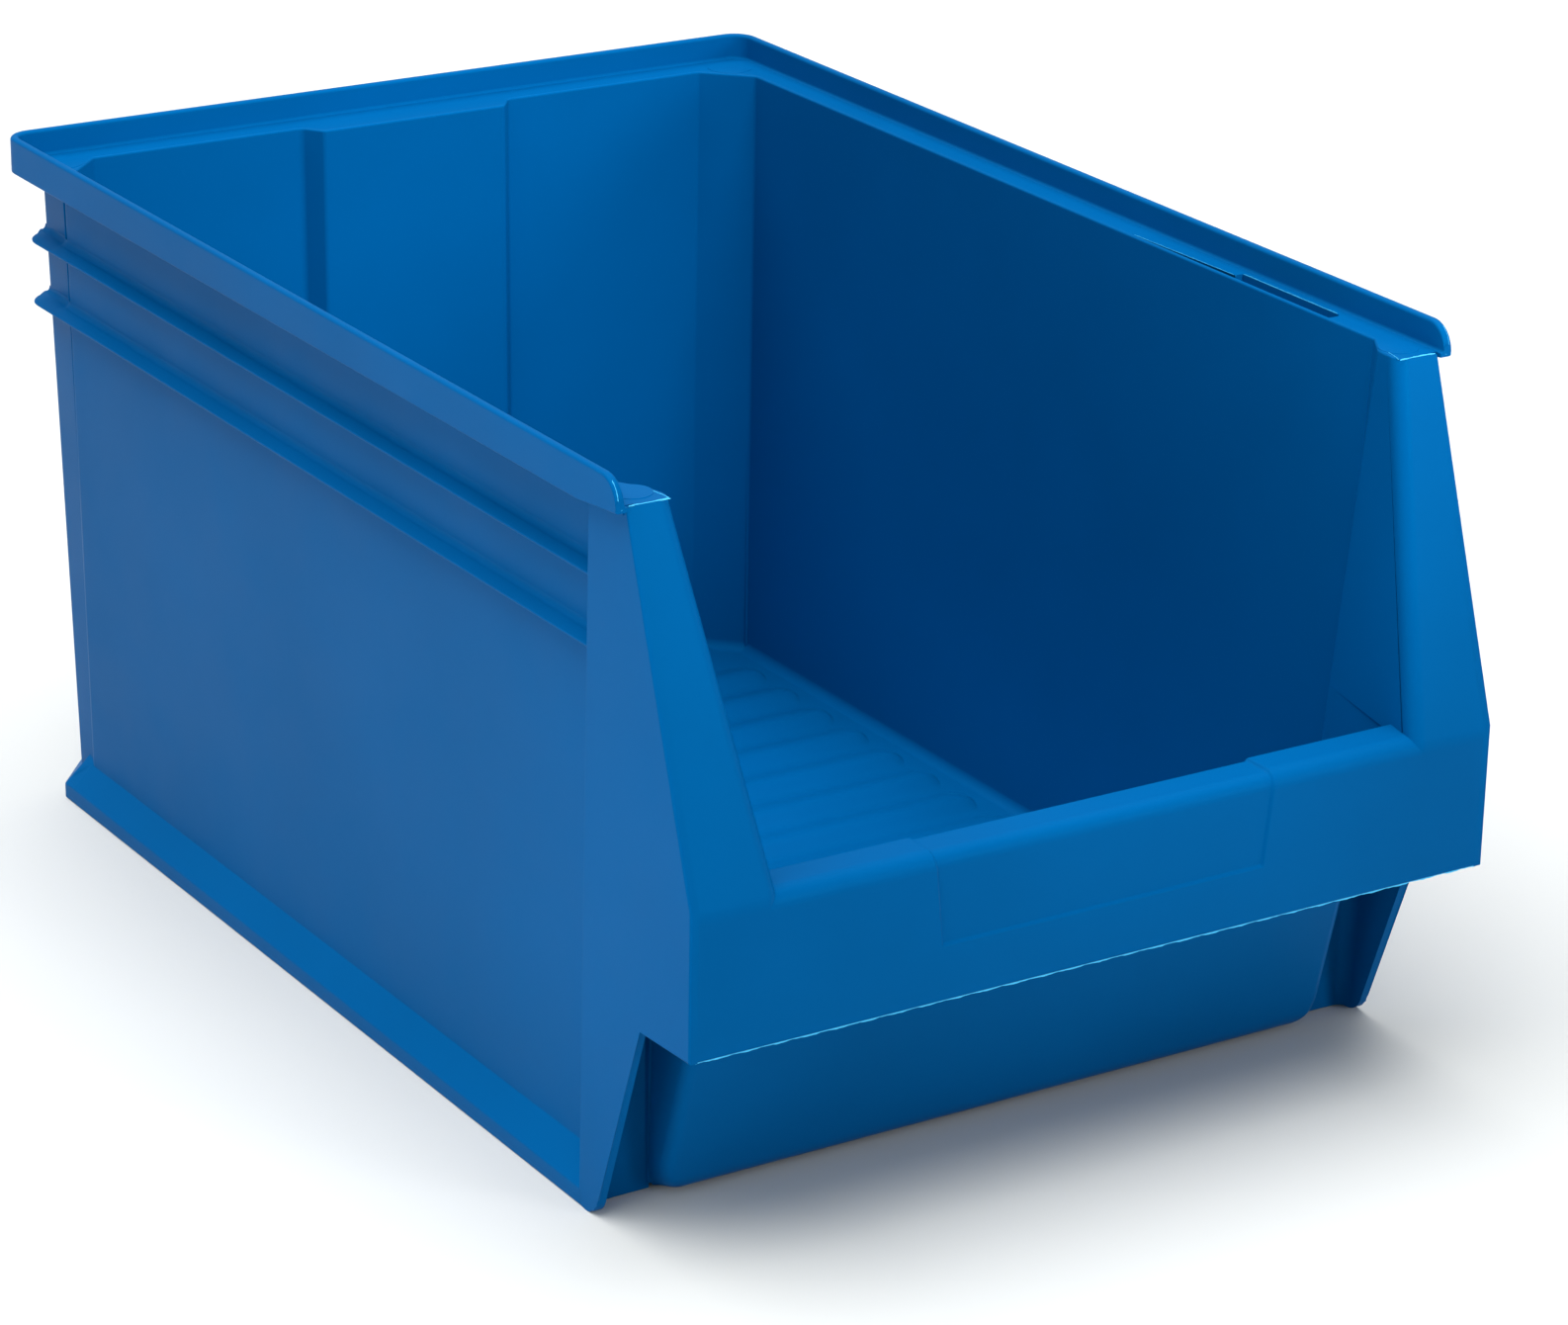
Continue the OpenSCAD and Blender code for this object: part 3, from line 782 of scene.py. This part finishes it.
def make_flash():
    """Flash under the apron, burrs at the rim's front ends, and raised lines on the posts and ledges, all in
    the light cyan look that paints their highlight.
    """
    bm = bmesh.new()
    up, down, along_y = (0, 0, 1), (0, 0, -1), (0, 1, 0)
    apron_x, apron_y = HALF - 6, FRONT + 0.35
    add_flash(bm, (-apron_x, apron_y, APRON_LOW), (apron_x, apron_y, APRON_LOW), down, along_y, 0.5, 2.0,
              least=0.05)
    burr = [(RIM_END + u, TOP - v) for u, v in fillet(RIM_END_R, (35, 50, 62, 74, 84))]
    for side in (-1, 1):
        across = (side, 0, 0)
        y = slope_y(LEDGE - 0.5) + 0.25
        c, z = corner_c(LEDGE), LEDGE - 0.12
        inner = side * (slope_x(LEDGE) + 1.5)
        add_flash(bm, (inner, y, z), (side * (POST_X - 1), y, z), up, along_y, 0.4, 1.0 + side)
        add_flash(bm, (side * (c[0] + 1.5), c[1] - 2, z), (inner, y + 1, z), up, across, 0.35, 4.0)
        wall_x = side_x(LEDGE - WALL)
        slot = side * (wall_x + SLOT_OUT + 0.1)
        add_flash(bm, (slot, SLOT_LOW + 2, z), (slot, SLOT_HIGH, z), up, across, 0.4, 5.0,
                  thin=0.35, least=0.6)
        groove = side * (wall_x + LIP_LEFT + 2.0)
        groove_end = (groove - side * 1.7, SLOT_HIGH + GROOVE_LENGTH, z)
        add_flash(bm, (groove, SLOT_HIGH, z), groove_end, up, across, 0.3, 7.0, least=0.6)
        x = side * (HALF - 1.1)
        for k, (low, high) in enumerate(zip(burr, burr[1:])):
            add_flash(bm, (x, *low), (x, *high), (0, -0.6, 0.4), across, 0.35, 3.0 + k, step=0.8)
        tab_y = RIM_END + 0.3
        add_flash(bm, (side * RIM_IN, tab_y, LEDGE - 0.1), (side * (HALF - 0.6), tab_y, LEDGE - 1.2),
                  (0, -0.7, 0.1), down, 0.5, 6.0, step=0.7)
    # The raised lines are real shapes; their light cyan colour is a painted highlight.
    piece("mould_flash_painted_highlight", bm, [], look="flash")


# ---- apron, rolled edge and trough ----
LABEL_LOW = APRON_LOW + 20   # lower edge of the label recess
LABEL_DEPTH = 1.0
ROLL_HALF = 131              # half width of the rolled edge


def label_edge(z):
    """Half width of the label recess."""
    return 64.5 + 3.5 * min(max((z - LABEL_LOW) / (APRON_TOP - LABEL_LOW), 0), 1)


def front_profile():
    """(y, z, outward normal) up the apron and back over its rolled top."""
    points = [(FRONT + 0.5, APRON_LOW, (-0.7, -0.7)), (FRONT, APRON_LOW + 0.5, (-1, 0))]
    for dz in (-8, -0.7, -0.35, 0, 0.35, 0.7, 8):
        points.append((FRONT, LABEL_LOW + dz, (-1, 0)))
    centre = (FRONT + ROLL_R, APRON_TOP - ROLL_R)
    for a in range(180, 89, -10):
        c, s = math.cos(math.radians(a)), math.sin(math.radians(a))
        points.append((centre[0] + ROLL_R * c, centre[1] + ROLL_R * s, (c, s)))
    back_r = 2.5
    back = trough_y(APRON_TOP) + WALL
    for a in range(90, -1, -15):
        c, s = math.cos(math.radians(a)), math.sin(math.radians(a))
        points.append((back - back_r + back_r * c, APRON_TOP - back_r + back_r * s, (c, s)))
    return points


def front_rows(points, half_width):
    """Rows across the front for each point of the profile, and their backs, with the label recess."""
    def row(y, z, normal, back):
        edge = label_edge(z)
        inside_z = min(max((z - LABEL_LOW) / 1.4 + 0.5, 0), 1) if not back else 0
        inside_z = inside_z * inside_z * (3 - 2 * inside_z)
        columns = []
        step = [(-0.7, 0.0), (-0.35, 0.12), (0, 0.5), (0.35, 0.88), (0.7, 1.0)]
        half = [(edge - d, k) for d, k in reversed(step)]
        for x, k in [(-half_width, 0)] + [(-x, k) for x, k in reversed(half)] + half + [(half_width, 0)]:
            sink = LABEL_DEPTH * k * inside_z + (WALL if back else 0)
            columns.append((x, y - normal[0] * sink, z - normal[1] * sink))
        return columns

    return [row(*p, False) for p in points] + [row(*p, True) for p in reversed(points)]


def make_front():
    """The apron and its rolled top edge, from one profile, and the wall below them."""
    profile = front_profile()
    split = next(i for i, p in enumerate(profile) if p[1] > JOIN - 0.01)
    bm = bmesh.new()
    add_skin(bm, front_rows(profile[:split + 1], POST_X - WALL))
    piece("apron_skin", bm, ["apron"])
    bm = bmesh.new()
    add_skin(bm, front_rows(profile[split:], ROLL_HALF))
    piece("apron_roll_skin", bm, ["apron_roll"])
    make_trough()


def make_trough():
    """The leaning lower front wall, rounded at its sides and more at its lower corners."""
    bottom, low_r, corner_r = FLOOR_UNDER - 1.4, 6.0, 13.0

    def sunk(z, radius):
        """How far an edge of this radius draws the wall in at a height."""
        above = min(z - bottom, radius)
        return radius - math.sqrt(max(radius ** 2 - (radius - above) ** 2, 0))

    def plan(z):
        side = trough_x(z) - sunk(z, corner_r)
        y = trough_y(z) + sunk(z, low_r)
        c = Vector(corner_c(z))
        edge = Vector((trough_x(z) - WALL, trough_y(z) + WALL))
        way = (edge - c).normalized()
        back = c + way * TROUGH_JOIN + Vector((-way.y, way.x)) * WALL
        back.x -= sunk(z, corner_r) * 0.2
        return [tuple(back), (side, y), (-side, y), (-back.x, back.y)]

    heights = [bottom + corner_r * (1 - math.cos(math.radians(a))) for a in range(8, 90, 9)]
    outside = [(0, z) for z in heights] + [(0, TROUGH_BEND), (0, TROUGH_TOP - 0.5)]
    foot = [(WALL + v, FLOOR + u) for u, v in fillet(FLOOR_R, range(0, 91, 15))]
    inside = [(WALL, TROUGH_TOP - 0.5), (WALL, TROUGH_BEND)] + foot + [(WALL + 8, FLOOR - 0.3)]
    rows = []
    for offset, z in outside + inside:
        shape = z if offset == 0 else max(z, bottom + corner_r)
        corners = plan(shape)
        if offset:
            lift = trough_y(z) - trough_y(shape)
            corners = [corners[0]] + [(x, y + lift) for x, y in corners[1:3]] + [corners[3]]
        rows.append([(p.x, p.y, z) for p in rounded(corners, [0, 4.5, 4.5, 0], offset, 8)])
    bm = bmesh.new()
    add_skin(bm, rows)
    piece("trough_wall_skin", bm, ["trough_wall"])


# ---- stage: floor, lights and camera ----
def make_stage():
    """A plain pale floor, in metres."""
    bm = bmesh.new()
    bmesh.ops.create_grid(bm, x_segments=1, y_segments=1, size=6.0)
    mesh = bpy.data.meshes.new("studio_floor")
    bm.to_mesh(mesh)
    bm.free()
    floor = bpy.data.objects.new("studio_floor", mesh)
    bpy.context.scene.collection.objects.link(floor)
    material = bpy.data.materials.new("pale_floor")
    material.use_nodes = True
    shader = material.node_tree.nodes["Principled BSDF"]
    shader.inputs["Base Color"].default_value = (0.6, 0.6, 0.6, 1)
    shader.inputs["Roughness"].default_value = 0.9
    shader.inputs["Specular IOR Level"].default_value = 0.0
    mesh.materials.append(material)


def aim(name, light, place, target):
    """Puts a light at a place in metres and turns it to a target."""
    obj = bpy.data.objects.new(name, light)
    obj.location = place
    obj.rotation_euler = (Vector(target) - Vector(place)).to_track_quat("-Z", "Y").to_euler()
    bpy.context.scene.collection.objects.link(obj)


def area_light(name, place, target, size, power, colour):
    light = bpy.data.lights.new(name, "AREA")
    light.shape, light.size, light.size_y = "RECTANGLE", size, size
    light.energy, light.color = power, colour
    aim(name, light, place, target)


def spot(name, place, target, cone, power):
    """A soft-edged spot of the given cone in degrees."""
    light = bpy.data.lights.new(name, "SPOT")
    light.spot_size, light.spot_blend, light.shadow_soft_size = math.radians(cone), 0.8, 0.15
    light.energy = power
    aim(name, light, place, target)


def sun(name, azimuth, elevation, spread, strength, colour=(1, 1, 1)):
    """A far light; azimuth 0 is in front of the bin, 90 at its right, both angles in degrees."""
    light = bpy.data.lights.new(name, "SUN")
    light.energy, light.color, light.angle = strength, colour, math.radians(spread)
    obj = bpy.data.objects.new(name, light)
    turn, rise = math.radians(azimuth), math.radians(elevation)
    way = Vector((math.sin(turn) * math.cos(rise), -math.cos(turn) * math.cos(rise), math.sin(rise)))
    obj.rotation_euler = way.to_track_quat("Z", "Y").to_euler()
    bpy.context.scene.collection.objects.link(obj)


def make_light():
    """Soft studio light from above and the front, one near the left side, one into the cavity."""
    world = bpy.data.worlds.new("studio")
    bpy.context.scene.world = world
    world.use_nodes = True
    backdrop = world.node_tree.nodes["Background"]
    backdrop.inputs["Color"].default_value = (0.8, 0.92, 1.0, 1)
    backdrop.inputs["Strength"].default_value = 0.4
    sun("top", 235, 80, 70, 4.7, (1, 1, 0.97))
    sun("front", 30, 16, 18, 0.9)
    area_light("near_left", (-0.62, -0.36, 0.2), (-0.16, -0.22, 0.14), 0.3, 0.9, (0.85, 0.97, 1))
    spot("inside", (0.12, -1.2, 0.75), (0.02, 0.23, 0.19), 22, 80)
    bpy.context.scene.view_settings.view_transform = "Standard"


def make_camera():
    """The photograph's viewing angle."""
    yaw, pitch, roll = (math.radians(a) for a in (32.43, 21.124, 0.989))
    forward = Vector((math.sin(yaw) * math.cos(pitch), math.cos(yaw) * math.cos(pitch), -math.sin(pitch)))
    camera = bpy.data.cameras.new("camera")
    camera.sensor_width, camera.lens = 36, 118.0
    camera.clip_start, camera.clip_end = 0.1, 30
    obj = bpy.data.objects.new("camera", camera)
    obj.rotation_mode = "QUATERNION"
    turn = forward.to_track_quat("-Z", "Y").to_matrix()
    right, up, back = turn.col[0].copy(), turn.col[1].copy(), turn.col[2].copy()
    turn.col[0] = right * math.cos(roll) + up * math.sin(roll)
    turn.col[1] = up * math.cos(roll) - right * math.sin(roll)
    turn.col[2] = back
    obj.rotation_quaternion = turn.to_quaternion()
    obj.location = Vector((-923.5, -1502.9, 783.2)) * MM
    bpy.context.scene.collection.objects.link(obj)
    bpy.context.scene.camera = obj


make_camera()
make_light()
make_stage()
make_walls()
make_columns()
make_floor()
make_ledge()
make_rim()
make_ribs()
make_skirt()
make_posts()
make_front()
make_flash()
